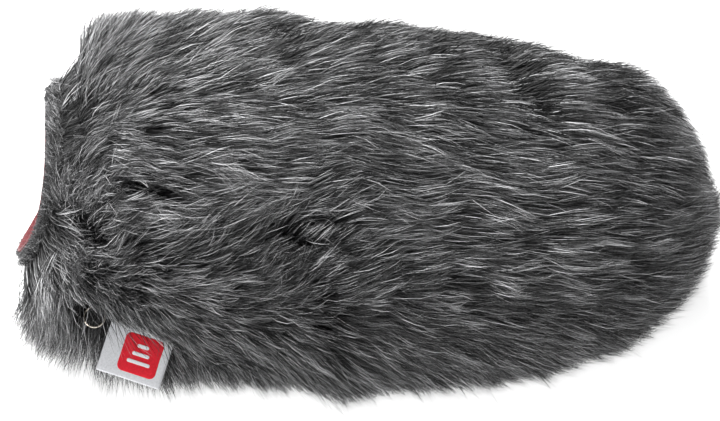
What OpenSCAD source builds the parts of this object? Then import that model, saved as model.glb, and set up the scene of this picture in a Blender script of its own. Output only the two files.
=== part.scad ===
// Furry slip-on windscreen: a long-pile fabric sock with an elastic mouth.
// Millimetres. The origin is the centre of the mouth opening.
// +X runs along the sock towards the closed nose, and +Z is up.

/* [Mouth] */
// Inner radius of the relaxed elastic mouth
mouth_r = 23.5; // [18:0.5:34]
// Width of the elastic band along the sock
elastic_w = 9.5; // [6:0.5:16]
// Thickness of the elastic band
elastic_t = 1.0; // [0.6:0.1:1.6]
// Thickness of the overlocked thread edge around the rim
overlock_t = 1.2; // [0.6:0.1:2]
// How far the overlocked edge reaches back over the backing
overlock_back = 3.0; // [2:0.5:5]

/* [Backing] */
// Thickness of the knitted backing
backing_t = 1.1; // [0.8:0.1:2]
// Outer radius of the backing at the belly
belly_r = 44; // [36:1:54]
// Where the shoulder behind the elastic ends
shoulder_end = 70; // [50:1:90]
// How steeply the shoulder swells: higher is steeper
shoulder_k = 2.8; // [1.5:0.1:4]
// Where the nose starts to round off
nose_start = 95; // [80:1:140]
// Length of the rounded nose of the backing
nose_len = 96; // [50:1:110]
// Squareness of the nose curve: 2 is an ellipse
nose_k = 2.4; // [2:0.1:3]
// Where the tube is joined to the nose cap
nose_seam_x = 130; // [122:1:150]

/* [Pile] */
// Outer radius that the pile stands to at the belly
pile_r = 58; // [50:1:70]
// Outer radius of the pile at its front lip
pile_lip_r = 41; // [34:1:48]
// How far the pile fans out in front of the mouth
pile_front = 2.2; // [0:0.1:6]
// Where the front fan reaches the full radius
pile_full_x = 40; // [30:1:60]
// Where the pile starts to round off towards the nose
pile_nose_start = 85; // [75:1:130]
// The far end of the pile at the nose
pile_end = 207; // [195:1:220]
// Squareness of the pile's nose curve
pile_k = 2.6; // [2:0.1:3]
// Where the neck's pile meets the sleeve's pile
neck_end = 30; // [24:1:36]
// Height of the axis above the surface that the sock lies on
rest_h = 50; // [46:1:56]

/* [Seams] */
// Angle of the side seam below the -Y side
seam_ang = 23; // [0:1:45]
// Width of the seam allowance
allow_w = 5; // [3:0.5:8]
// Pitch of the seam stitches
stitch_pitch = 3.4; // [2:0.2:5]
// Thickness of the sewing thread
thread_d = 0.4; // [0.2:0.05:0.6]

/* [Parting] */
// Half the angle that the pile parts by at the label
part_ang = 36; // [30:1:45]
// Where the parting starts
part_x0 = 13; // [10:1:18]
// Where the parting ends
part_x1 = 56; // [50:1:70]

/* [Label] */
// Width of the folded woven label
label_w = 20; // [12:1:30]
// Length of the label out of the seam
label_len = 20.2; // [14:0.2:30]
// Thickness of one leaf of the label
leaf_t = 0.35; // [0.2:0.05:0.5]
// Gap between the label's two leaves
leaf_gap = 0.5; // [0.3:0.1:1]
// Place along the sock of the label's first corner
label_x = 28; // [24:1:40]
// Slope of the label's sewn edge
label_ang = 15.4; // [0:0.2:25]
// Distance of the label's sewn edge from the axis at its first corner
label_r = 39.0; // [34:0.1:42]
// Width of the plain patch on the label
patch_w = 12; // [6:0.5:16]
// Height of the plain patch on the label
patch_h = 12; // [6:0.5:16]

/* [Ring] */
// Radius of the wire ring to the middle of its wire
ring_r = 3.1; // [2:0.1:6]
// Diameter of the ring's wire
wire_d = 0.76; // [0.5:0.02:1.2]
// Place along the sock of the ring's centre
ring_x = 21.4; // [16:0.1:24]
// Distance of the ring's centre from the axis
ring_at_r = 42.6; // [38:0.1:48]
// Width of the ribbon tab
tab_w = 2.0; // [1.5:0.1:4]
// Thickness of the ribbon
ribbon_t = 0.4; // [0.2:0.1:0.6]
// Inner radius of the ribbon's loop around the wire
loop_r = 0.9; // [0.7:0.05:1.4]

/* [Hidden] */
$fn = 72;
// Free space between two touching pieces
gap = 0.1;
// Outer radius of the elastic, inside the backing
elastic_r = mouth_r + elastic_t;
// Outer radius of the backing at the neck
neck_r = elastic_r + gap + backing_t;
// Depth and width of the channel that the zigzag thread lies in
channel_t = 0.4;
channel_w = 5;
// Height that the pile adds beyond its lip
pile_rise = pile_r - pile_lip_r;
nose_tip = nose_start + nose_len;
// Where the nose cap's edge meets the tube
cap_x = nose_seam_x + gap;
steps = 14;
far = 300;
label_t = 2 * leaf_t + leaf_gap;
fold_r = label_t / 2;
flat_l = label_len - fold_r;
tab_top = ring_at_r - ring_r;
tab_base = 35.1;
tab_len = tab_top - tab_base;
loop_out = loop_r + ribbon_t;
stitch_l = stitch_pitch * 0.62;
zig_n = 36;
nose_stitch_n = 64;
edge_n = 96;

// Outer radius of the backing at a place along the sock
function shoulder(x) = 1 - pow(1 - min(1, max(0, (x - elastic_w) / (shoulder_end - elastic_w))), shoulder_k);
function nose_drop(x) = x <= nose_start ? 1
  : pow(max(0, 1 - pow((x - nose_start) / nose_len, nose_k)), 1 / nose_k);
function back_r(x) = (neck_r + (belly_r - neck_r) * shoulder(x)) * nose_drop(x);

// The same curve moved inwards by the backing's thickness
function in_x(x) = cap_x + (x - cap_x) * (nose_tip - backing_t - cap_x) / (nose_tip - cap_x);
function in_r(x) = back_r(x) * (belly_r - backing_t) / belly_r;

// Outer radius of the pile at a place along the sock
function fan(x) = 1 - pow(1 - min(1, (x + pile_front) / (pile_full_x + pile_front)), 2.5);
function tip_drop(x) = x <= pile_nose_start ? 1
  : pow(max(0, 1 - pow((x - pile_nose_start) / (pile_end - pile_nose_start), pile_k)), 1 / pile_k);
function out_r(x) = (pile_lip_r + pile_rise * fan(x)) * tip_drop(x);

// Places spread from a to b, and closer together near b for a rounded end
function spread(a, b, n) = [for (i = [0 : n]) a + (b - a) * i / n];
function round_end(a, b, n) = [for (i = [0 : n]) a + (b - a) * sin(90 * i / n)];
function back(list) = [for (i = [len(list) - 1 : -1 : 0]) list[i]];

// Turns a half section, drawn as [radius, place], about the sock's axis
module around() {
  rotate([0, 90, 0])
    rotate_extrude(angle = 360)
      children();
}

// Lays a drawing in the plane of the side seam: X along the sock, -Y outwards
module in_seam() {
  rotate([seam_ang, 0, 0])
    children();
}

module sleeve_backing() {
  xs = spread(elastic_w, shoulder_end, steps);
  xe = spread(nose_start, nose_seam_x, 4);
  color([0.17, 0.17, 0.18])
    around()
      polygon(concat(
        [[neck_r, 0]],
        [for (x = xs) [back_r(x), x]],
        [for (x = xe) [back_r(x), x]],
        [for (x = back(xe)) [in_r(x), x]],
        [for (x = back(xs)) [max(elastic_r + gap, back_r(x) - backing_t), x]],
        [[elastic_r + gap, 0]]
      ));
}

module nose_backing() {
  xs = round_end(cap_x, nose_tip, steps);
  color([0.17, 0.17, 0.18])
    around()
      polygon(concat(
        [for (x = xs) [back_r(x), x]],
        [for (x = back(xs)) [in_r(x), in_x(x)]]
      ));
}

// The wedge of room that the pile leaves beside the side seam
module parting() {
  deep = 30;
  in_seam()
    translate([label_x, -label_r, 0])
      rotate([0, 0, -label_ang])
        rotate([90, 0, 90])
          translate([0, 0, part_x0 - label_x])
            linear_extrude(height = part_x1 - part_x0)
              polygon([
                [3.2, 1.3],
                [-deep, 1.3 + deep * tan(part_ang)],
                [-deep, -1.3 - deep * tan(part_ang)],
                [3.2, -1.3]
              ]);
}

// Room above the surface that the sock lies on
module above_rest() {
  translate([-far / 2, -far / 2, -rest_h])
    cube([2 * far, far, far]);
}

module neck_pile() {
  xi = concat([overlock_back + 2 * gap, elastic_w], spread(elastic_w + 2.5, neck_end, 8));
  xo = spread(-pile_front, neck_end, 12);
  color([0.32, 0.32, 0.33])
    intersection() {
      difference() {
        around()
          polygon(concat(
            [for (x = xi) [back_r(x) + gap, x]],
            [for (x = back(xo)) [out_r(x), x]],
            [[pile_lip_r - 6, -pile_front]],
            [[neck_r + overlock_t + 0.4, 1.4]],
            [[neck_r + overlock_t + 0.4, overlock_back + 2 * gap]]
          ));
        parting();
      }
      above_rest();
    }
}

module sleeve_pile() {
  xi = concat(spread(neck_end + gap, shoulder_end, 8), spread(nose_start, nose_seam_x, 3));
  xo = concat(
    spread(neck_end + gap, pile_full_x, 3),
    spread(pile_nose_start, nose_seam_x, 6)
  );
  color([0.36, 0.36, 0.37])
    intersection() {
      difference() {
        around()
          polygon(concat(
            [for (x = xi) [back_r(x) + gap, x]],
            [for (x = back(xo)) [out_r(x), x]]
          ));
        parting();
      }
      above_rest();
    }
}

module nose_pile() {
  xi = round_end(cap_x, nose_tip, steps);
  xo = round_end(cap_x, pile_end, steps + 2);
  color([0.34, 0.34, 0.35])
    intersection() {
      around()
        polygon(concat(
          [for (x = xi) [back_r(x) + (x < nose_tip ? gap : 0), x + (x > cap_x ? gap : 0)]],
          [for (x = back(xo)) [out_r(x), x]]
        ));
      above_rest();
    }
}

// Two edges of fabric standing inwards from the side seam
module side_seam_allowance() {
  xs = concat(spread(elastic_w + 4, shoulder_end, 10), [nose_start, nose_seam_x - 6]);
  t = 2 * backing_t;
  color([0.2, 0.2, 0.21])
    in_seam()
      translate([0, 0, -t / 2])
        linear_extrude(height = t)
          polygon(concat(
            [for (x = xs) [x, -(back_r(x) - backing_t - gap)]],
            [for (x = back(xs)) [x, -(back_r(x) - backing_t - gap - allow_w)]]
          ));
}

// The nose cap's edge and the tube's edge laid flat inside the seam
module nose_seam_allowance() {
  color([0.2, 0.2, 0.21])
    around()
      polygon([
        [in_r(nose_seam_x - allow_w) - gap, nose_seam_x - allow_w],
        [in_r(nose_seam_x) - gap, nose_seam_x],
        [in_r(nose_seam_x + allow_w) - gap, nose_seam_x + allow_w],
        [in_r(nose_seam_x + allow_w) - gap - backing_t, nose_seam_x + allow_w],
        [in_r(nose_seam_x) - gap - backing_t, nose_seam_x],
        [in_r(nose_seam_x - allow_w) - gap - backing_t, nose_seam_x - allow_w]
      ]);
}

// One short stitch of thread lying along X
module stitch(len) {
  rotate([0, 90, 0])
    cylinder(d = thread_d, h = len, center = true, $fn = 8);
}

module side_seam_stitches() {
  n = floor((nose_seam_x - 10 - elastic_w - 6) / stitch_pitch);
  off = backing_t + thread_d / 2 + 0.05;
  color([0.1, 0.1, 0.1])
    in_seam()
      for (i = [0 : n], side = [-1, 1]) {
        x = elastic_w + 6 + i * stitch_pitch;
        slope = atan(back_r(x + 1) - back_r(x - 1)) / 2;
        translate([x, -(back_r(x) - backing_t - allow_w * 0.45), side * off])
          rotate([0, 0, -slope])
            stitch(stitch_l);
      }
}

module nose_seam_stitches() {
  r = in_r(nose_seam_x) - 2 * gap - backing_t - thread_d / 2;
  arc = 360 * stitch_l / (2 * PI * r);
  color([0.1, 0.1, 0.1])
    for (i = [0 : nose_stitch_n - 1])
      rotate([i * 360 / nose_stitch_n, 0, 0])
        translate([nose_seam_x - allow_w * 0.4, 0, r - 0.12])
          rotate([0, 0, 90])
            stitch(stitch_l);
}

module mouth_elastic() {
  mid = elastic_w / 2;
  color([0.62, 0.12, 0.12])
    around()
      polygon([
        [mouth_r, 0],
        [elastic_r, 0],
        [elastic_r, elastic_w],
        [mouth_r, elastic_w],
        [mouth_r, mid + channel_w / 2],
        [mouth_r + channel_t, mid + channel_w / 2],
        [mouth_r + channel_t, mid - channel_w / 2],
        [mouth_r, mid - channel_w / 2]
      ]);
}

// Overlocking thread that wraps the cut rim, with a rib for each stitch
module mouth_overlock() {
  r0 = mouth_r + 0.3;
  r1 = neck_r + gap;
  r2 = neck_r + overlock_t;
  color([0.13, 0.13, 0.14]) {
    around()
      polygon([
        [r0, -gap],
        [r1, -gap],
        [r1, overlock_back],
        [r2 - 0.3, overlock_back],
        [r2, overlock_back - 0.5],
        [r2, -overlock_t + 0.6],
        [r2 - 0.6, -overlock_t - gap],
        [r0 + 0.6, -overlock_t - gap],
        [r0, -overlock_t + 0.6]
      ]);
    for (i = [0 : edge_n - 1])
      rotate([i * 360 / edge_n, 0, 0])
        translate([overlock_back / 2 - 0.4, 0, r2 - 0.05])
          rotate([0, 90, 12])
            cylinder(d = 0.8, h = overlock_back - 0.2, center = true, $fn = 8);
  }
}

// Zigzag thread that holds the elastic, lying in the band's channel
module elastic_zigzag() {
  r = mouth_r + channel_t - 0.22;
  step = 360 / zig_n;
  half = r * step * PI / 360;
  lean = atan(channel_w * 0.62 / (2 * half));
  long = sqrt(pow(channel_w * 0.62, 2) + pow(2 * half, 2)) * 0.94;
  color([0.5, 0.1, 0.1])
    for (i = [0 : zig_n - 1])
      rotate([i * step, 0, 0])
        translate([elastic_w / 2, 0, r])
          rotate([0, 0, (i % 2 == 0 ? 1 : -1) * lean + 90])
            rotate([0, 90, 0])
              cylinder(d = 0.22, h = long, center = true, $fn = 6);
}

// Places a drawing at the label's sewn edge: X along it, -Y out of the seam
module at_label() {
  in_seam()
    translate([label_x, -label_r, 0])
      rotate([0, 0, -label_ang])
        children();
}

module woven_label() {
  color([0.8, 0.81, 0.83])
    at_label() {
      for (side = [0, 1])
        translate([0, -flat_l, side == 1 ? leaf_gap / 2 : -leaf_gap / 2 - leaf_t])
          cube([label_w, flat_l, leaf_t]);
      translate([0, -flat_l, 0])
        rotate([0, 90, 0])
          difference() {
            cylinder(r = fold_r, h = label_w);
            translate([0, 0, -1])
              cylinder(r = leaf_gap / 2, h = label_w + 2);
            translate([-fold_r - 1, 0, -1])
              cube([2 * fold_r + 2, fold_r + 1, label_w + 2]);
          }
      // The leaves are sewn together at the edge that goes into the seam
      translate([0, -0.8, -leaf_gap / 2 - 0.01])
        cube([label_w, 0.8, leaf_gap + 0.02]);
    }
}

module rounded_plate(w, h, r, t) {
  translate([r, 0, 0])
    cube([w - 2 * r, h, t]);
  translate([0, r, 0])
    cube([w, h - 2 * r, t]);
  for (x = [r, w - r], y = [r, h - r])
    translate([x, y, 0])
      cylinder(r = r, h = t, $fn = 40);
}

// A plain woven patch with three plain bars and no lettering
module label_patch() {
  color([0.72, 0.09, 0.11])
    at_label()
      translate([label_w - patch_w - 2.4, -flat_l + 1.6, label_t / 2 + 0.02])
        rounded_plate(patch_w, patch_h, 1.8, 0.12);
}

module label_mark() {
  bar_h = 1.1;
  color([0.92, 0.92, 0.93])
    at_label()
      for (i = [0 : 2])
        translate([
          label_w - patch_w - 2.4 + patch_w * 0.2 + i * 0.9,
          -flat_l + 1.6 + patch_h * (0.24 + 0.21 * i),
          label_t / 2 + 0.16
        ])
          rounded_plate(patch_w * (0.6 - 0.15 * i), bar_h, 0.5, 0.1);
}

// Short stitches on the backing along the label's sewn edge
module label_bartack() {
  n = 9;
  color([0.1, 0.1, 0.1])
    in_seam()
      for (i = [0 : n - 1]) {
        x = label_x + 1 + i * (label_w - 2) / n;
        slope = atan((back_r(x + 1) - back_r(x - 1)) / 2);
        for (side = [-1, 1])
          translate([x, -(back_r(x) + 0.02 + thread_d / 2) + 0.03, side * 1.0])
            rotate([0, 0, -slope])
              stitch(1.5);
      }
}

// A ribbon sewn into the side seam, with a loop that the ring hangs in
module ring_tab() {
  color([0.12, 0.12, 0.13])
    in_seam()
      translate([ring_x - tab_w / 2, 0, 0])
        difference() {
          union() {
            translate([0, -tab_top + loop_r, -ribbon_t])
              cube([tab_w, tab_len - loop_r, 2 * ribbon_t]);
            translate([0, -tab_top, 0])
              rotate([0, 90, 0])
                cylinder(r = loop_out, h = tab_w);
          }
          translate([-1, -tab_top, 0])
            rotate([0, 90, 0])
              cylinder(r = loop_r, h = tab_w + 2);
        }
}

module wire_ring() {
  color([0.75, 0.72, 0.68])
    in_seam()
      translate([ring_x, -ring_at_r, 0])
        rotate_extrude(angle = 360)
          translate([ring_r, 0])
            circle(d = wire_d, $fn = 32);
}

sleeve_backing();
nose_backing();
neck_pile();
sleeve_pile();
nose_pile();
side_seam_allowance();
nose_seam_allowance();
side_seam_stitches();
nose_seam_stitches();
mouth_elastic();
mouth_overlock();
elastic_zigzag();
woven_label();
label_patch();
label_mark();
label_bartack();
ring_tab();
wire_ring();
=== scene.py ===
"""Looks of the furry windscreen: long pile, knitted backing, elastic mouth, label and ring.

Lengths are in millimetres in the row frame until a mesh is made, which is in metres.
"""

import math

import bpy
import numpy as np
from mathutils import Matrix, Vector
from mathutils.kdtree import KDTree


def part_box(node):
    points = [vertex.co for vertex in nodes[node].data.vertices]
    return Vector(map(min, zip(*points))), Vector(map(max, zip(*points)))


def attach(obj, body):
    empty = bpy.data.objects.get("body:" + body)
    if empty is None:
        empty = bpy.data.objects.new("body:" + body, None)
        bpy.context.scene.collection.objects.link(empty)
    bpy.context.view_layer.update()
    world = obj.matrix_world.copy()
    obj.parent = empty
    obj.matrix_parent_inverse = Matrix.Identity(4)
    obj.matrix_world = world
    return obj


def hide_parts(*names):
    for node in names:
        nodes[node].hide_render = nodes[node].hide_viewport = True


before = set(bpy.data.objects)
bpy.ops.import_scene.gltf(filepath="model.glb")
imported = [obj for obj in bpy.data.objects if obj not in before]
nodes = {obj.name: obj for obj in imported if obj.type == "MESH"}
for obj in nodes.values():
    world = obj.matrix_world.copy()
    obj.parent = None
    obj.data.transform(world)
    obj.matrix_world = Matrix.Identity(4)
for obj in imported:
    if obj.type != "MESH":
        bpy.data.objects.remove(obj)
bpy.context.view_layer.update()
MM = 0.001


def corner(node, high, axis):
    """One side of a CAD node's box, in millimetres."""
    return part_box(node)[1 if high else 0][axis] / MM


# ---------------------------------------------------------------- camera

# The camera looks straight at the plane of the side seam, square to the sleeve.
SEAM = math.radians(23)
ALONG = np.array([1.0, 0.0, 0.0])
UP = np.array([0.0, math.cos(SEAM), math.sin(SEAM)])
TOWARDS = np.array([0.0, -math.sin(SEAM), math.cos(SEAM)])
LENS = 120
SENSOR = 36
ROLL = math.radians(2.75)
SHOWN_WIDTH = 217.2
AIM = 99.9 * ALONG - 6.8 * UP


def make_camera():
    data = bpy.data.cameras.new("camera")
    data.lens = LENS
    data.sensor_width = SENSOR
    data.clip_start = 0.01
    data.clip_end = 20
    cam = bpy.data.objects.new("camera", data)
    bpy.context.scene.collection.objects.link(cam)
    far = SHOWN_WIDTH / 2 / (SENSOR / 2 / LENS)
    right = math.cos(ROLL) * ALONG + math.sin(ROLL) * UP
    top = math.cos(ROLL) * UP - math.sin(ROLL) * ALONG
    place = AIM + far * TOWARDS
    turn = Matrix((right, top, TOWARDS)).transposed().to_4x4()
    cam.matrix_world = Matrix.Translation(Vector(place * MM)) @ turn
    bpy.context.scene.camera = cam


make_camera()

# ---------------------------------------------------------------- sizes from the frame

FLOOR = corner("sleeve_pile", False, 2)
RING_FRONT = corner("mouth_elastic", False, 0)
ELASTIC_W = corner("mouth_elastic", True, 0)
ELASTIC_R = corner("mouth_elastic", True, 2)
BELLY_R = corner("sleeve_backing", True, 1)
SEAM_X = corner("sleeve_backing", True, 0)
NOSE_TIP = corner("nose_backing", True, 0)
BACKING = 1.1
GAP = 0.1
ELASTIC_T = 1.0
NECK_R = ELASTIC_R + GAP + BACKING
SHOULDER_END = 70
SHOULDER_K = 2.8
NOSE_START = 95
NOSE_K = 2.4
NECK_END = 30


def back_r(x):
    """Outer radius of the backing at a place along the sleeve."""
    t = np.clip((x - ELASTIC_W) / (SHOULDER_END - ELASTIC_W), 0, 1)
    swell = 1 - (1 - t) ** SHOULDER_K
    u = np.clip((x - NOSE_START) / (NOSE_TIP - NOSE_START), 0, 1)
    drop = np.maximum(1 - u**NOSE_K, 0) ** (1 / NOSE_K)
    return (NECK_R + (BELLY_R - NECK_R) * swell) * drop


# The soft mouth leans, its two sides bow back, and its lower half gapes towards the camera.
LEAN = math.tan(math.radians(8))
GAPE = 0.235
BOW = 5.0
MOUTH_LIFT = 0.4
MOUTH_IN = 2.0
LEAN_FROM = 8
LEAN_TO = 32


def lean(p):
    """Shears and lifts the soft mouth, bows its two sides back, and lets its low side gape."""
    fade = np.clip((LEAN_TO - p[..., 0]) / (LEAN_TO - LEAN_FROM), 0, 1)
    fade = fade * fade * (3 - 2 * fade)
    level = p @ UP
    low = np.clip(0.5 - level / (2 * ELASTIC_R), 0, 1)
    out = p.copy()
    bow = BOW * np.clip(1 - (level / ELASTIC_R) ** 2, 0, 1)
    out[..., 0] += (MOUTH_IN + LEAN * level + bow + GAPE * low**2 * (p @ TOWARDS)) * fade
    return out + (MOUTH_LIFT * fade)[..., None] * UP


def radial(a):
    """Unit vectors square to the sleeve, at an angle from the camera's side towards the top."""
    return np.cos(a)[..., None] * TOWARDS + np.sin(a)[..., None] * UP


def around_at(a):
    """Unit vectors round the sleeve, square to the radial ones."""
    return -np.sin(a)[..., None] * TOWARDS + np.cos(a)[..., None] * UP


# ---------------------------------------------------------------- places of the label and the ring

LABEL_AT = 28.0
LABEL_R = 39.0
LABEL_TILT = math.radians(-15.4)
LABEL_W = 20.0
LABEL_L = 20.2
LEAF = 0.35
LEAF_GAP = 0.5
BASE = LABEL_AT * ALONG - LABEL_R * UP
ACROSS = math.cos(LABEL_TILT) * ALONG + math.sin(LABEL_TILT) * UP
DOWN = math.sin(LABEL_TILT) * ALONG - math.cos(LABEL_TILT) * UP
RING_AT = 21.4
RING_OUT = 42.6


# ---------------------------------------------------------------- materials


def material(name, colour, roughness=0.6, specular=0.3, metallic=0.0, sheen=0.0):
    m = bpy.data.materials.new(name)
    m.use_nodes = True
    b = m.node_tree.nodes["Principled BSDF"]
    b.inputs["Base Color"].default_value = (*colour, 1)
    b.inputs["Roughness"].default_value = roughness
    b.inputs["Specular IOR Level"].default_value = specular
    b.inputs["Metallic"].default_value = metallic
    b.inputs["Sheen Weight"].default_value = sheen
    return m


def link(m, a, b):
    m.node_tree.links.new(a, b)


def add(m, kind, **values):
    n = m.node_tree.nodes.new(kind)
    for key, value in values.items():
        if hasattr(n, key):
            setattr(n, key, value)
        else:
            n.inputs[key.replace("_", " ")].default_value = value
    return n


def ramp(m, source, stops):
    n = m.node_tree.nodes.new("ShaderNodeValToRGB")
    e = n.color_ramp.elements
    while len(e) < len(stops):
        e.new(0.5)
    for i, (at, colour) in enumerate(stops):
        e[i].position = at
        e[i].color = (*colour, 1)
    link(m, source, n.inputs["Fac"])
    return n.outputs["Color"]


def woven(name, dark, light, scale, roughness=0.8, bump=0.3, diagonal=False, sheen=0.2, specular=0.2):
    """Cloth with crossing threads and a little unevenness, in object coordinates."""
    m = material(name, light, roughness, specular, 0, sheen)
    b = m.node_tree.nodes["Principled BSDF"]
    where = add(m, "ShaderNodeTexCoord")
    turn = add(m, "ShaderNodeMapping")
    turn.inputs["Rotation"].default_value = (SEAM, 0, math.radians(45 if diagonal else 0))
    link(m, where.outputs["Object"], turn.inputs["Vector"])
    waves = []
    for direction in ("X", "Y"):
        w = add(m, "ShaderNodeTexWave", bands_direction=direction, Scale=scale, Distortion=0.6)
        w.inputs["Detail"].default_value = 1
        w.inputs["Detail Scale"].default_value = 2
        link(m, turn.outputs["Vector"], w.inputs["Vector"])
        waves.append(w)
    mix = add(m, "ShaderNodeMath", operation="MULTIPLY")
    link(m, waves[0].outputs["Fac"], mix.inputs[0])
    link(m, waves[1].outputs["Fac"], mix.inputs[1])
    noise = add(m, "ShaderNodeTexNoise", Scale=scale * 0.9, Detail=4.0)
    link(m, where.outputs["Object"], noise.inputs["Vector"])
    both = add(m, "ShaderNodeMath", operation="MULTIPLY_ADD")
    both.inputs[1].default_value = 0.6
    link(m, mix.outputs[0], both.inputs[0])
    link(m, noise.outputs["Fac"], both.inputs[2])
    link(m, ramp(m, both.outputs[0], [(0.3, dark), (0.95, light)]), b.inputs["Base Color"])
    raise_it = add(m, "ShaderNodeBump", Strength=bump, Distance=0.0003)
    link(m, both.outputs[0], raise_it.inputs["Height"])
    link(m, raise_it.outputs["Normal"], b.inputs["Normal"])
    return m


# ---------------------------------------------------------------- meshes


def mesh_of(name, points, faces, mats, indices=None, smooth=True):
    """A mesh object from points in millimetres."""
    data = bpy.data.meshes.new(name)
    data.from_pydata((points * MM).tolist(), [], faces)
    for m in mats:
        data.materials.append(m)
    if indices is not None:
        data.polygons.foreach_set("material_index", np.asarray(indices, np.int32))
    data.polygons.foreach_set("use_smooth", np.full(len(data.polygons), smooth))
    data.update()
    o = bpy.data.objects.new(name, data)
    bpy.context.scene.collection.objects.link(o)
    return o


def grid_faces(rows, cols, wrap_rows=False, wrap_cols=False):
    """Quads over a grid of points, closed on itself where asked."""
    faces = []
    for i in range(rows if wrap_rows else rows - 1):
        for j in range(cols if wrap_cols else cols - 1):
            k, n = (i + 1) % rows, (j + 1) % cols
            faces.append((i * cols + j, i * cols + n, k * cols + n, k * cols + j))
    return faces


def lathe(name, section, mats, around=144, wave=None):
    """Turns a closed section of (place, radius) pairs about the sleeve, with the mouth's lean."""
    section = np.asarray(section, float)
    a = np.linspace(0, 2 * math.pi, around, endpoint=False)
    r = np.broadcast_to(section[:, 1], (around, len(section))).copy()
    if wave is not None:
        r += wave(a[:, None], section[None, :, 0])
    p = section[None, :, 0, None] * ALONG + r[..., None] * radial(a)[:, None, :]
    p = lean(p).reshape(-1, 3)
    return mesh_of(name, p, grid_faces(around, len(section), True, True), mats)


def finish_piece(o, body, stands_for=()):
    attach(o, body)
    if stands_for:
        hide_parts(*stands_for)
    return o


# ---------------------------------------------------------------- fur

rng = np.random.default_rng(20261117)
GREYS = [0.003, 0.006, 0.012, 0.024, 0.046, 0.082, 0.140, 0.230, 0.370, 0.580]
fur_mats = [
    material(f"fur_{i}", (g, g * 1.003, g * 1.02), roughness=0.42, specular=0.35)
    for i, g in enumerate(GREYS)
]


class Waves:
    """Smooth noise over space: a sum of a few sines of one rough wavelength."""

    def __init__(self, wavelength, count=6):
        d = rng.normal(size=(count, 3))
        d /= np.linalg.norm(d, axis=1, keepdims=True)
        self.k = d * 2 * math.pi / (wavelength * rng.uniform(0.7, 1.4, (count, 1)))
        self.at = rng.uniform(0, 2 * math.pi, count)

    def __call__(self, p):
        return np.sin(p @ self.k.T + self.at).sum(-1) / math.sqrt(len(self.at) / 2)


broad = Waves(75)
medium = Waves(26)
fine = Waves(9)
lift = Waves(22)

PROFILE_X = NOSE_TIP - (NOSE_TIP - 2.0) * np.linspace(1, 0, 900) ** 1.7
PROFILE_R = back_r(PROFILE_X)
PROFILE_S = np.concatenate([[0], np.cumsum(np.hypot(np.diff(PROFILE_X), np.diff(PROFILE_R)))])
AREA = np.concatenate([[0], np.cumsum((PROFILE_R[1:] + PROFILE_R[:-1]) / 2 * np.diff(PROFILE_S))])
SLOPE_X = np.gradient(PROFILE_X, PROFILE_S)
SLOPE_R = np.gradient(PROFILE_R, PROFILE_S)


def roots(count, shift):
    """Places spread evenly over the backing, with the surface's directions there."""
    i = np.arange(count)
    u = (i * 0.7548776662 + shift) % 1
    v = (i * 0.5698402910 + shift * 0.7) % 1
    s = np.interp(u * AREA[-1], AREA, PROFILE_S)
    s = np.clip(s + rng.normal(0, 0.35, count), 0, PROFILE_S[-1] - 0.2)
    x = np.interp(s, PROFILE_S, PROFILE_X)
    r = np.interp(s, PROFILE_S, PROFILE_R)
    a = 2 * math.pi * v + rng.normal(0, 0.35, count) / np.maximum(r, 3)
    sx, sr = np.interp(s, PROFILE_S, SLOPE_X), np.interp(s, PROFILE_S, SLOPE_R)
    size = np.hypot(sx, sr)
    sx, sr = sx / size, sr / size
    e_r = radial(a)
    e_s = sx[:, None] * ALONG + sr[:, None] * e_r
    normal = -sr[:, None] * ALONG + sx[:, None] * e_r
    place = lean(x[:, None] * ALONG + r[:, None] * e_r)
    return {"x": x, "r": r, "a": a, "p": place, "n": normal, "s": e_s, "t": around_at(a)}


# Places where the pile parts and its dark roots show: along, across the view, size.
PARTINGS = ((19.0, -24.0, 5.0), (39.0, -5.0, 3.0), (84.0, -19.0, 5.5), (89.0, -13.0, 3.5))
PART_FROM = 10
PART_TO = 84
SEAM_PART = 6.0


# How the pile turns off the sleeve's line: along, angle, their spreads, degrees.
SWIRLS = (
    (74, -0.60, 30, 0.36, 26),
    (92, -0.45, 75, 0.45, 28),
    (82, 0.35, 90, 0.40, -6),
    (50, 0.95, 50, 0.30, 8),
    (24, -0.60, 20, 0.50, 32),
    (5, -0.15, 8, 0.50, 30),
    (46, -1.15, 30, 0.40, 24),
)


def wrapped(a):
    return (a + math.pi) % (2 * math.pi) - math.pi


def beside_seam(a):
    """The angle from the side seam, positive on the side above the label."""
    return wrapped(a + math.pi / 2)


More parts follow.
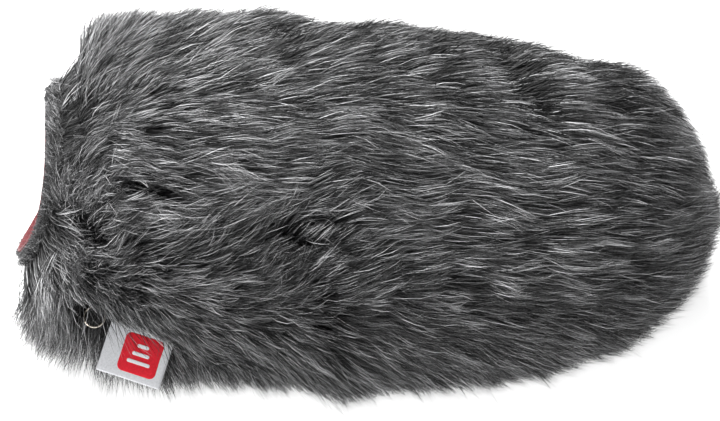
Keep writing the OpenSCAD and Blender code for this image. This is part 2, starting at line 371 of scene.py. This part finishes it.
def lay_of(g):
    """The direction that the pile is combed in, how steeply it stands, and its length's share."""
    p, x, a = g["p"], g["x"], g["a"]
    a = wrapped(a)
    turn = 3 * broad(p) + 4 * medium(p) + 6 * fine(p)
    for at, angle, wide, tall, degrees in SWIRLS:
        turn = turn + degrees * np.exp(-(((x - at) / wide) ** 2) - ((a - angle) / tall) ** 2)
    turn = np.radians(turn)
    along = np.cos(turn)
    across = np.sin(turn)
    # Round the mouth the pile fans straight out.
    sides = 0.3 + 0.7 * np.sin(a) ** 2
    fan = np.clip((34 - x) / 26, 0, 1) * sides * (1 - 0.35 * np.clip(np.sin(a), 0, 1))
    along = along * (1 - 0.55 * fan)
    push = np.zeros_like(g["p"])
    share = np.ones(len(x))
    for at, level, size in PARTINGS:
        angle = math.asin(level / 50)
        dx = x + 5 - at
        da = wrapped(a - angle) * g["r"]
        far = np.hypot(dx * 0.6, da * 1.5)
        near = np.exp(-((far / size) ** 2))
        push += near[:, None] * 1.5 * np.sign(da)[:, None] * g["t"]
        push += near[:, None] * 0.5 * np.sign(dx)[:, None] * g["s"]
        share -= 0.35 * near
    # The pile parts along the side seam, where the label and the ring come out.
    da = beside_seam(a) * g["r"]
    inside = np.clip((x - PART_FROM) / 6, 0, 1) * np.clip((PART_TO - x) / 14, 0, 1)
    near = np.exp(-((da / SEAM_PART) ** 2)) * inside
    push += (np.where(da > 0, 1.5, 0.5) * near * np.sign(da))[:, None] * g["t"]
    # Under the sleeve the pile is splayed outwards by the surface that it lies on.
    under = np.clip((-15 - p[:, 2]) / 20, 0, 1)
    push[:, 1] += 1.1 * under * np.clip(p[:, 1] / 20, -1, 1)
    lay = along[:, None] * g["s"] + across[:, None] * g["t"] + push
    size = np.linalg.norm(lay, axis=1, keepdims=True)
    return lay / np.maximum(size, 0.2), fan, share


def grow(g, length, points, start, end, weight, rough):
    """Curves of pile, from the roots out: each leans further over along its length."""
    lay, fan, share = lay_of(g)
    n = len(g["x"])
    up = 4.5 * lift(g["p"])
    high = np.sin(g["a"])
    # Above the label and the ring the pile lies flat along the sleeve.
    beside = beside_seam(g["a"])
    flat = np.clip(beside / 0.1, 0, 1) * np.clip((1.15 - beside) / 0.6, 0, 1)
    flat = flat * np.clip((g["x"] - 14) / 10, 0, 1) * np.clip((84 - g["x"]) / 26, 0, 1)
    # On the near and far sides of the neck it is combed back from the rim.
    combed = np.clip((36 - g["x"]) / 22, 0, 1) * (1 - 0.85 * np.sin(g["a"]) ** 2)
    # Over the top it lies almost flat, and from the belly to the nose it is flatter all round.
    top = np.clip((high - 0.25) / 0.55, 0, 1) * np.clip((g["x"] - 12) / 12, 0, 1)
    nose = np.clip((g["x"] - 130) / 40, 0, 1)
    top = top * (1 - 0.9 * nose)
    belly = np.clip((g["x"] - 95) / 30, 0, 1) - 0.9 * nose
    start = start + np.maximum(40 * flat, 34 * combed)
    start = np.minimum(start + 38 * top + 14 * belly, 74)
    # Just below the label it stands straight out, and past the label a tuft hangs down.
    flare = np.clip(-beside / 0.1, 0, 1) * np.clip((1.0 + beside) / 0.4, 0, 1)
    flare = flare * np.clip((66 - g["x"]) / 24, 0, 1)
    straight = flare * np.clip((44 - g["x"]) / 14, 0, 1)
    tuft = np.exp(-(((g["x"] - 84) / 13) ** 2) - ((beside - 0.30) / 0.35) ** 2)
    end = end - 30 * flare - 24 * straight - 16 * tuft
    length = length * (1 + 0.12 * flare + 0.24 * straight + 0.22 * tuft - 0.14 * top)
    start = np.radians(start * (1 - 0.6 * fan) + 10 * high + up + rng.normal(0, rough, n))
    end = np.radians(end * (1 - 0.42 * fan) + 5 * high + up + rng.normal(0, rough, n))
    side = rng.normal(0, 0.15, (n, 3))
    length = length * share
    p = g["p"].copy()
    path = [p]
    steps = points - 1
    for k in range(steps):
        t = (k + 0.5) / steps
        lean_now = start + (end - start) * t**0.8
        d = np.cos(lean_now)[:, None] * g["n"] + np.sin(lean_now)[:, None] * lay
        d = d + side * (0.5 + t)
        d[:, 2] -= weight * t
        d /= np.linalg.norm(d, axis=1, keepdims=True)
        p = p + d * (length / steps)[:, None]
        path.append(p)
    return np.stack(path, axis=1)


def gather(path, g, centres, centre_path, strength, power):
    """Draws each hair towards its lock, more at the tip than at the root."""
    tree = KDTree(len(centres["p"]))
    for i, c in enumerate(centres["p"]):
        tree.insert(c, i)
    tree.balance()
    which = np.array([tree.find(c)[1] for c in g["p"]])
    t = np.linspace(0, 1, path.shape[1])
    pull = strength[:, None] * t[None] ** power
    return path + (centre_path[which] - path) * pull[..., None], which


def keep_clear(path, lowest):
    """Pile that reaches the surface below bends along it, and none of it enters the backing."""
    out = path.copy()
    for k in range(1, path.shape[1]):
        r = back_r(np.clip(out[:, k, 0], 0, NOSE_TIP)) + 0.5
        off = out[:, k].copy()
        off[:, 0] = 0
        size = np.linalg.norm(off, axis=1)
        inside = (size < r) & (out[:, k, 0] < NOSE_TIP)
        grow_by = np.where(inside, r / np.maximum(size, 0.1), 1)
        out[:, k, 1] *= grow_by
        out[:, k, 2] *= grow_by
    under = np.maximum(lowest[:, None] - out[..., 2], 0)
    out[..., 2] += under
    away = np.clip(out[..., 1] / 20, -1, 1) * np.minimum(under, 14) * 0.8
    out[..., 1] += away
    return out


# The stretch of the label and the part of the ring that show, clear of the pile above them.
LABEL_SHOWN = 4.4
RING_SHOWN = 4.4
LABEL_SWING = math.tan(math.radians(31))
RING_SWING = math.tan(math.radians(25))
TAB_OUT = 35.1


def hides_label(p):
    """Whether places lie in front of what shows of the label or the ring."""
    q = p - BASE
    x, y, z = q @ ACROSS, q @ DOWN, p @ TOWARDS
    on_it = (x > -0.8) & (x < LABEL_W + 0.8) & (y > LABEL_SHOWN) & (y < LABEL_L + 3) & (z > -0.5)
    dx, dr = p @ ALONG - RING_AT, -(p @ UP) - RING_OUT
    return on_it | ((abs(dx) < RING_SHOWN) & (dr > -3.4) & (dr < 5) & (z > -0.5))


def press_below(path, root, x, y, width, reach, slope):
    """Pile below the label or the ring is pressed down as far as that swings."""
    z = path @ TOWARDS
    edge = np.clip(1 - np.maximum(-x, x - width) / 3, 0, 1)
    deep = -1.3 - slope * np.clip(y, 0, reach) * edge
    swept = (root @ TOWARDS <= 0) & (y > 0) & (np.hypot(y, z) < reach + 0.2)
    swept &= (z > deep) & (edge > 0)
    path += np.where(swept, deep - z, 0)[..., None] * TOWARDS


def uncover(path):
    """Pile that would hide the label or the ring is cut back, unevenly, and none passes through."""
    out = path.copy()
    root = path[:, :1]
    slack = rng.uniform(0, 1, len(path)) < 0.03
    for _ in range(7):
        bad = hides_label(out).any(axis=1) & ~slack
        out[bad] = root[bad] + (out[bad] - root[bad]) * 0.82
    q = out - BASE
    x, y, z = q @ ACROSS, q @ DOWN, out @ TOWARDS
    through = (x > -0.5) & (x < LABEL_W + 0.5) & (y > 0) & (y < LABEL_L + 0.5) & (abs(z) < 1.3)
    side = np.where(root @ TOWARDS > 0, 1.3, -1.3)
    out += np.where(through, side - z, 0)[..., None] * TOWARDS
    press_below(out, root, x, y, LABEL_W, LABEL_L + 1, LABEL_SWING)
    x, y = out @ ALONG - RING_AT + RING_SHOWN, -(out @ UP) - TAB_OUT
    press_below(out, root, x, y, 2 * RING_SHOWN, RING_OUT - TAB_OUT + RING_SHOWN, RING_SWING)
    return out


def strands(name, path, width, shades, body_mats):
    """Flat tapering strands along the curves, with a grey for each stretch."""
    n, k = path.shape[:2]
    d = np.gradient(path, axis=1)
    d /= np.maximum(np.linalg.norm(d, axis=2, keepdims=True), 1e-6)
    any_way = rng.normal(size=(n, 1, 3))
    w = np.cross(d, any_way)
    w /= np.maximum(np.linalg.norm(w, axis=2, keepdims=True), 1e-6)
    t = np.linspace(0, 1, k)
    taper = (1 - t**2.2) * 0.9 + 0.1
    half = (width[:, None] * taper[None] / 2)[..., None] * w
    left, right = path - half, path + half
    body = np.stack([left[:, :-1], right[:, :-1]], axis=2).reshape(n, -1, 3)
    points = np.concatenate([body, path[:, -1:]], axis=1).reshape(-1, 3)
    each = 2 * (k - 1) + 1
    corners = []
    starts = []
    total = 0
    for j in range(k - 2):
        starts.append(total)
        corners += [2 * j, 2 * j + 1, 2 * j + 3, 2 * j + 2]
        total += 4
    starts.append(total)
    corners += [2 * (k - 2), 2 * (k - 2) + 1, 2 * (k - 1)]
    total += 3
    loops = (np.arange(n)[:, None] * each + np.array(corners)[None]).astype(np.int32).ravel()
    begin = (np.arange(n)[:, None] * total + np.array(starts)[None]).astype(np.int32).ravel()
    data = bpy.data.meshes.new(name)
    data.vertices.add(len(points))
    data.vertices.foreach_set("co", (points * MM).astype(np.float32).ravel())
    data.loops.add(len(loops))
    data.loops.foreach_set("vertex_index", loops)
    data.polygons.add(len(begin))
    data.polygons.foreach_set("loop_start", begin)
    for m in body_mats:
        data.materials.append(m)
    data.polygons.foreach_set("material_index", shades.astype(np.int32).ravel())
    data.polygons.foreach_set("use_smooth", np.ones(len(begin), bool))
    data.update(calc_edges=True)
    o = bpy.data.objects.new(name, data)
    bpy.context.scene.collection.objects.link(o)
    return o


def shade(n, stretches, tones, shares, spread):
    """Greys from a dark root to a paler tip, different for each hair."""
    tip = rng.choice(tones, n, p=shares)[:, None] + rng.normal(0, spread, (n, 1))
    t = (np.arange(stretches) + 0.5) / stretches
    return 0.2 + (tip - 0.2) * np.clip((t[None] - 0.15) / 0.65, 0, 1) ** 0.8


# The zones that the CAD's three pile solids stand for.
ZONES = (
    ("neck", "neck_pile", "fur_neck", -99, NECK_END),
    ("sleeve", "sleeve_pile", "fur_sleeve", NECK_END, SEAM_X),
    ("nose", "nose_pile", "fur_nose", SEAM_X, 999),
)
PIECE_TRIANGLES = 190000


def coat(kind, count, points, length, start, end, weight, width, tones, shares, strength):
    """One coat of pile over the whole backing, as pieces by zone."""
    count = int(count)
    coarse = roots(COARSE_LOCKS, 0.31)
    coarse_path = grow(coarse, np.full(COARSE_LOCKS, length), points, start, end, weight, 3)
    locks = roots(LOCKS, 0.57)
    lock_length = length * rng.uniform(0.8, 1.12, LOCKS)
    lock_path = grow(locks, lock_length, points, start, end, weight, 8)
    lock_path, _ = gather(lock_path, locks, coarse, coarse_path, np.full(LOCKS, 0.35), 1.4)
    lock_tone = rng.normal(0, 1.9, LOCKS)
    g = roots(count, 0.13)
    path = grow(g, length * rng.uniform(0.72, 1.15, count), points, start, end, weight, 6)
    pull = np.clip(rng.normal(strength, 0.2, count), 0, 0.95)
    path, which = gather(path, g, locks, lock_path, pull, 1.25)
    path = uncover(keep_clear(path, FLOOR + 0.2 + rng.uniform(0, 2.5, count)))
    shades = shade(count, points - 1, tones, shares, 0.7) + lock_tone[which][:, None]
    # Right at the rim the pile is paler; towards the mouth it is painted paler still, as painted light from
    # the lamp at the upper left.
    shades += 1.4 * np.clip((18 - g["x"]) / 14, 0, 1)[:, None]
    shades += 0.9 * np.clip((80 - g["x"]) / 50, 0, 1)[:, None]
    # Below the side seam the pile is painted darker, as painted shade from the layer of pile above it.
    beside = beside_seam(g["a"])
    painted_shade_under_seam = np.clip(1 + beside / 0.45, 0, 1) * (beside < 0) * (abs(g["x"] - 62) < 26)
    shades -= 1.2 * painted_shade_under_seam[:, None]
    shades = np.clip(np.round(shades), 0, len(GREYS) - 1)
    widths = width * rng.uniform(0.7, 1.3, count)
    each = 2 * (points - 2) + 1
    for zone, node, slot, low, high in ZONES:
        here = np.flatnonzero((g["x"] >= low) & (g["x"] < high))
        here = here[np.argsort(g["x"][here], kind="stable")]
        parts = max(1, math.ceil(len(here) * each / PIECE_TRIANGLES))
        for i, some in enumerate(np.array_split(here, parts)):
            o = strands(f"{kind}_{zone}_{i + 1}", path[some], widths[some], shades[some], fur_mats)
            finish_piece(o, "cover", (node,))


def stubble(count):
    """Short loose hairs that cross each other over the rim and the start of the neck."""
    count = int(count)
    x = RING_FRONT + 0.6 + 14 * rng.beta(1.1, 1.8, count)
    a = rng.uniform(0, 2 * math.pi, count)
    r = np.maximum(NECK_R, back_r(x)) + 0.7
    way = rng.normal(0.9, 1.1, count)
    back = np.clip(x / 6, 0, 1)
    run = np.cos(way)
    run = np.where(run < 0, run * back, run)
    lay = run[:, None] * ALONG + np.sin(way)[:, None] * around_at(a)
    length = rng.uniform(3, 6, count) * (1 + 0.7 * back)
    p = x[:, None] * ALONG + r[:, None] * radial(a)
    path = [p]
    steps = 4
    for k in range(steps):
        rise = (0.5 - 0.2 * k) * (0.2 + 0.8 * back) + rng.normal(0, 0.12, count)
        d = lay + rise[:, None] * radial(a) + rng.normal(0, 0.1, (count, 3))
        d /= np.linalg.norm(d, axis=1, keepdims=True)
        p = p + d * (length / steps)[:, None]
        path.append(p)
    path = uncover(lean(np.stack(path, axis=1)))
    shades = shade(count, steps, (2, 5, 8), (0.4, 0.35, 0.25), 0.8) + 1
    shades = np.clip(np.round(shades), 0, len(GREYS) - 1)
    o = strands("stubble_neck", path, rng.uniform(0.10, 0.19, count), shades, fur_mats)
    finish_piece(o, "cover", ("neck_pile",))


COARSE_LOCKS = 2200
LOCKS = 22000
SHARE = 1.0
coat(
    "undercoat", count=90000 * SHARE, points=4, length=14.0, start=15, end=50, weight=0.10,
    width=0.34, tones=(0.5, 1.5, 2.8), shares=(0.4, 0.4, 0.2), strength=0.45,
)
coat(
    "guard", count=260000 * SHARE, points=6, length=23.5, start=12, end=84, weight=0.25,
    width=0.21, tones=(1.2, 4.4, 8.3), shares=(0.4, 0.36, 0.24), strength=0.72,
)
stubble(30000 * SHARE)

# ---------------------------------------------------------------- backing and mouth

knit = woven("knit", (0.010, 0.010, 0.011), (0.055, 0.055, 0.058), 900, bump=0.5)
elastic = woven("elastic", (0.05, 0.006, 0.008), (0.21, 0.026, 0.032), 900, bump=0.6, diagonal=True)
overlock = woven("overlock", (0.008, 0.008, 0.009), (0.10, 0.10, 0.105), 1500, bump=0.8)

outer = [(x, float(back_r(np.array(x)))) for x in np.linspace(RING_FRONT, SEAM_X, 48)]
inner = [(x, max(r - BACKING, ELASTIC_R + GAP)) for x, r in reversed(outer)]
finish_piece(
    lathe("backing_tube", outer + inner, [knit]), "cover", ("sleeve_backing",)
)

# The elastic's front edge stands out a little past the thread on the rim.
EDGE_OUT = 1.2
band = [(x, ELASTIC_R) for x in np.linspace(RING_FRONT, ELASTIC_W, 14)]
band += [(x, ELASTIC_R - ELASTIC_T) for x in np.linspace(ELASTIC_W, RING_FRONT, 14)]
band[0] = (RING_FRONT - EDGE_OUT, ELASTIC_R - 0.1)
band[-1] = (RING_FRONT - EDGE_OUT, ELASTIC_R - ELASTIC_T + 0.1)


def ribs(a, x):
    return 0.10 * np.sin(60 * a) * (x < ELASTIC_W)


elastic_ring = lathe("elastic_band", band, [elastic], 480, ribs)
finish_piece(elastic_ring, "cover", ("mouth_elastic",))


def tubes(paths, radius, sides=6):
    """Round threads along open curves, as one set of points and faces."""
    points, faces = [], []
    for path in paths:
        path = np.asarray(path, float)
        d = np.gradient(path, axis=0)
        d /= np.linalg.norm(d, axis=1, keepdims=True)
        ref = np.array([0.37, 0.61, 0.70])
        u = np.cross(d, ref)
        u /= np.linalg.norm(u, axis=1, keepdims=True)
        v = np.cross(d, u)
        a = np.linspace(0, 2 * math.pi, sides, endpoint=False)
        ring = np.cos(a)[None, :, None] * u[:, None] + np.sin(a)[None, :, None] * v[:, None]
        start = sum(len(q) for q in points)
        points.append((path[:, None] + radius * ring).reshape(-1, 3))
        rows = len(path)
        faces += [tuple(start + i for i in f) for f in grid_faces(rows, sides, False, True)]
        faces.append(tuple(start + i for i in range(sides))[::-1])
        faces.append(tuple(start + (rows - 1) * sides + i for i in range(sides)))
    return np.concatenate(points), faces


def rim_loops():
    """Thread loops that wrap the cut rim, one after another, each a little slanted."""
    count = 420
    r0, r1 = ELASTIC_R + 0.1, NECK_R + 0.8
    paths = []
    for i in range(count):
        a0 = 2 * math.pi * i / count
        t = np.linspace(0, 1, 12)
        bend = np.sin(math.pi * t)
        x = 3.0 - 3.8 * bend + rng.normal(0, 0.25)
        r = r1 - (r1 - r0) * t**0.8 + 0.15 * bend
        x = np.where(t > 0.5, 0.2 - 1.0 * np.sin(math.pi * t), x)
        a = a0 + 0.09 * (1 - t) + rng.normal(0, 0.01)
        p = x[:, None] * ALONG + r[:, None] * radial(a)
        paths.append(lean(p))
    for x0, r2 in ((2.9, r1), (1.4, r1 + 0.1), (0.2, r1 - 0.1)):
        a = np.linspace(0, 2 * math.pi, 900)
        wiggle = np.sin(150 * a)
        p = (x0 + 0.55 * wiggle)[:, None] * ALONG + (r2 + 0.12 * np.cos(150 * a))[:, None] * radial(a)
        paths.append(lean(p))
    return tubes(paths, 0.19, 5)


points, faces = rim_loops()
rim = mesh_of("rim_overlock", points, faces, [overlock])
finish_piece(rim, "cover", ("mouth_overlock",))


def zigzag():
    """Zigzag thread lying in the elastic's channel."""
    turns = 72
    t = np.arange(turns * 2 + 1)
    a = 2 * math.pi * t / (turns * 2)
    x = ELASTIC_W / 2 + np.where(t % 2 == 0, -1.6, 1.6)
    p = x[:, None] * ALONG + (ELASTIC_R - ELASTIC_T + 0.12) * radial(a)
    return tubes([lean(p)], 0.13, 5)


thread_red = material("thread_red", (0.30, 0.02, 0.025), 0.7)
points, faces = zigzag()
stitch = mesh_of("zigzag_thread", points, faces, [thread_red])
finish_piece(stitch, "cover", ("elastic_zigzag",))

# ---------------------------------------------------------------- label


def on_label(x, y, z):
    """Places on the label: across it, out of the seam, and towards the front."""
    bow = 0.5 * np.sin(math.pi * y / LABEL_L) * (0.4 + 0.6 * x / LABEL_W)
    x, y, z = np.broadcast_arrays(x, y, z + bow)
    return BASE + x[..., None] * ACROSS + y[..., None] * DOWN + z[..., None] * TOWARDS


def label_strip():
    half = LEAF_GAP / 2 + LEAF / 2
    flat = LABEL_L - half - LEAF / 2
    y = np.linspace(0, flat, 16)
    turn = np.linspace(-90, 90, 9)[1:-1]
    ys = np.concatenate([y, flat + half * np.cos(np.radians(turn)), y[::-1]])
    zs = np.concatenate([np.full(16, half), -half * np.sin(np.radians(turn)), np.full(16, -half)])
    d = np.stack([np.gradient(ys), np.gradient(zs)], axis=1)
    d /= np.linalg.norm(d, axis=1, keepdims=True)
    n = np.stack([-d[:, 1], d[:, 0]], axis=1) * LEAF / 2
    loop_y = np.concatenate([ys + n[:, 0], (ys - n[:, 0])[::-1]])
    loop_z = np.concatenate([zs + n[:, 1], (zs - n[:, 1])[::-1]])
    x = np.linspace(0, LABEL_W, 24)
    p = on_label(x[:, None], loop_y[None], loop_z[None])
    rows, cols = len(x), len(loop_y)
    faces = grid_faces(rows, cols, False, True)
    m = len(ys)
    for row in (0, rows - 1):
        for j in range(m - 1):
            q = (row * cols + j, row * cols + j + 1, row * cols + cols - 2 - j, row * cols + cols - 1 - j)
            faces.append(q if row else q[::-1])
    return p.reshape(-1, 3), faces


satin = woven("satin", (0.42, 0.43, 0.45), (0.72, 0.73, 0.76), 2600, 0.38, 0.15, specular=0.6)
points, faces = label_strip()
label = mesh_of("label_strip", points, faces, [satin])
finish_piece(label, "label", ("woven_label",))


def plate_on_label(name, x0, y0, w, h, r, z, mat, node):
    """A thin rounded patch that follows the label's bow."""
    outline = []
    for cx, cy, begin in ((w - r, h - r, 0), (r, h - r, 90), (r, r, 180), (w - r, r, 270)):
        for a in np.radians(np.linspace(begin, begin + 90, 9)):
            outline.append((cx + r * math.cos(a), cy + r * math.sin(a)))
    outline = np.array(outline)
    middle = outline.mean(0)
    rings = [middle + (outline - middle) * s for s in (1.0, 1.0, 0.97, 0.75, 0.5, 0.25)]
    heights = [z, z + 0.08, z + 0.14, z + 0.14, z + 0.14, z + 0.14]
    xs = np.stack([q[:, 0] for q in rings]) + x0
    ys = np.stack([q[:, 1] for q in rings]) + y0
    zs = np.repeat(np.array(heights)[:, None], len(outline), axis=1)
    p = on_label(xs, ys, zs).reshape(-1, 3)
    faces = grid_faces(len(rings), len(outline), False, True)
    top = (len(rings) - 1) * len(outline)
    faces.append(tuple(top + i for i in range(len(outline))))
    faces.append(tuple(range(len(outline)))[::-1])
    o = mesh_of(name, p, faces, [mat])
    return finish_piece(o, "label", (node,))


red = woven("patch_red", (0.50, 0.006, 0.014), (0.80, 0.014, 0.035), 1800, 0.6, 0.3, diagonal=True, sheen=0)
white = woven("mark_white", (0.62, 0.62, 0.64), (0.86, 0.86, 0.88), 2400, 0.5, 0.2)
FACE = LEAF_GAP / 2 + LEAF
PATCH = 12.0
PATCH_X = LABEL_W - PATCH - 2.4
PATCH_Y = LABEL_L - FACE - PATCH - 1.6
plate_on_label("red_patch", PATCH_X, PATCH_Y, PATCH, PATCH, 1.8, FACE - 0.02, red, "label_patch")
for i in range(3):
    plate_on_label(
        f"white_bar_{i + 1}", PATCH_X + 2.4 + 0.9 * i, PATCH_Y + PATCH * (0.65 - 0.21 * i),
        PATCH * (0.6 - 0.15 * i), 1.1, 0.5, FACE + 0.10, white, "label_mark",
    )

# ---------------------------------------------------------------- CAD pieces that stay

thread = woven("thread", (0.006, 0.006, 0.006), (0.03, 0.03, 0.032), 3000)
ribbon = woven("ribbon", (0.008, 0.008, 0.009), (0.05, 0.05, 0.055), 2500)
wire = material("wire", (0.62, 0.57, 0.50), 0.16, 0.5, 1.0)


def repaint(node, mat):
    data = nodes[node].data
    data.materials.clear()
    data.materials.append(mat)


repaint("nose_backing", knit)
repaint("side_seam_allowance", knit)
repaint("nose_seam_allowance", knit)
repaint("side_seam_stitches", thread)
repaint("nose_seam_stitches", thread)
repaint("label_bartack", thread)
repaint("ring_tab", ribbon)
repaint("wire_ring", wire)

# ---------------------------------------------------------------- floor and light


def floor():
    data = bpy.data.meshes.new("floor")
    s = 3.0
    z = FLOOR * MM - 0.0002
    data.from_pydata([(-s, -s, z), (s, -s, z), (s, s, z), (-s, s, z)], [], [(0, 1, 2, 3)])
    m = material("floor", (0.92, 0.92, 0.92), 0.9, 0.1)
    b = m.node_tree.nodes["Principled BSDF"]
    b.inputs["Emission Color"].default_value = (1, 1, 1, 1)
    b.inputs["Emission Strength"].default_value = 0.56
    data.materials.append(m)
    o = bpy.data.objects.new("floor", data)
    bpy.context.scene.collection.objects.link(o)


def area_light(name, place, target, size, power):
    data = bpy.data.lights.new(name, "AREA")
    data.shape = "RECTANGLE"
    data.size = size[0]
    data.size_y = size[1]
    data.energy = power
    o = bpy.data.objects.new(name, data)
    o.location = place
    o.rotation_euler = (Vector(target) - Vector(place)).to_track_quat("-Z", "Y").to_euler()
    bpy.context.scene.collection.objects.link(o)


floor()
area_light("key", (-0.22, 0.45, 0.8), (0.06, 0, 0), (0.6, 0.4), 21)
area_light("fill", (-0.5, -0.6, 0.6), (0.03, 0, 0), (0.5, 0.5), 6)
world = bpy.data.worlds.new("world")
world.use_nodes = True
world.node_tree.nodes["Background"].inputs["Color"].default_value = (1, 1, 1, 1)
world.node_tree.nodes["Background"].inputs["Strength"].default_value = 0.44
bpy.context.scene.world = world
bpy.context.scene.view_settings.view_transform = "Standard"
